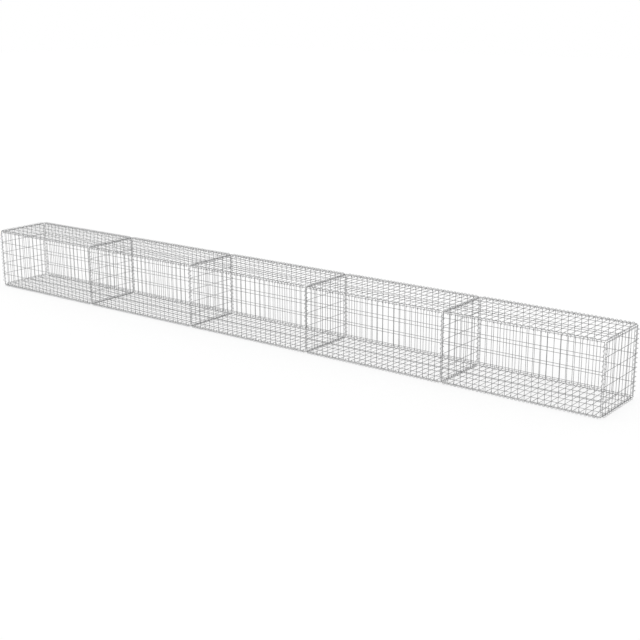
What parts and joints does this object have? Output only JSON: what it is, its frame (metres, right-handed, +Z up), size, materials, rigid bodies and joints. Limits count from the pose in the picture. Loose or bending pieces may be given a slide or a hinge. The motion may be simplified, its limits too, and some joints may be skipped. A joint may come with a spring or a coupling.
{
  "type": "gabion wall",
  "caption": "Empty gabion wall of galvanised welded mesh: a long low row of box bays with partitions and lids, bound along the edges with wire coils, to be filled with stone.",
  "frame": {"origin": "middle of the footprint, at the ground that the lowest coils rest on", "axes": "+X along the wall from the left end to the right, +Y from the front to the back, +Z up"},
  "size_m": [6.0288, 0.5338, 0.5338],
  "materials": {
    "mesh_wire": "hot-dip galvanised, dull",
    "coil_wire": "galvanised wire, dull"
  },
  "bodies": {
    "root": {"front_panel_1": "mesh_wire", "back_panel_1": "mesh_wire", "base_panel_1": "mesh_wire", "lid_1": "mesh_wire", "front_panel_2": "mesh_wire", "back_panel_2": "mesh_wire", "base_panel_2": "mesh_wire", "lid_2": "mesh_wire", "front_panel_3": "mesh_wire", "back_panel_3": "mesh_wire", "base_panel_3": "mesh_wire", "lid_3": "mesh_wire", "front_panel_4": "mesh_wire", "back_panel_4": "mesh_wire", "base_panel_4": "mesh_wire", "lid_4": "mesh_wire", "front_panel_5": "mesh_wire", "back_panel_5": "mesh_wire", "base_panel_5": "mesh_wire", "lid_5": "mesh_wire", "end_panel_left": "mesh_wire", "end_panel_right": "mesh_wire", "partition_1": "mesh_wire", "partition_2": "mesh_wire", "partition_3": "mesh_wire", "partition_4": "mesh_wire", "coils_front_bottom": "coil_wire", "coils_front_top": "coil_wire", "coils_back_bottom": "coil_wire", "coils_back_top": "coil_wire", "coils_end_left": "coil_wire", "coils_end_right": "coil_wire", "coils_partition_1": "coil_wire", "coils_partition_2": "coil_wire", "coils_partition_3": "coil_wire", "coils_partition_4": "coil_wire"}
  },
  "joints": []
}
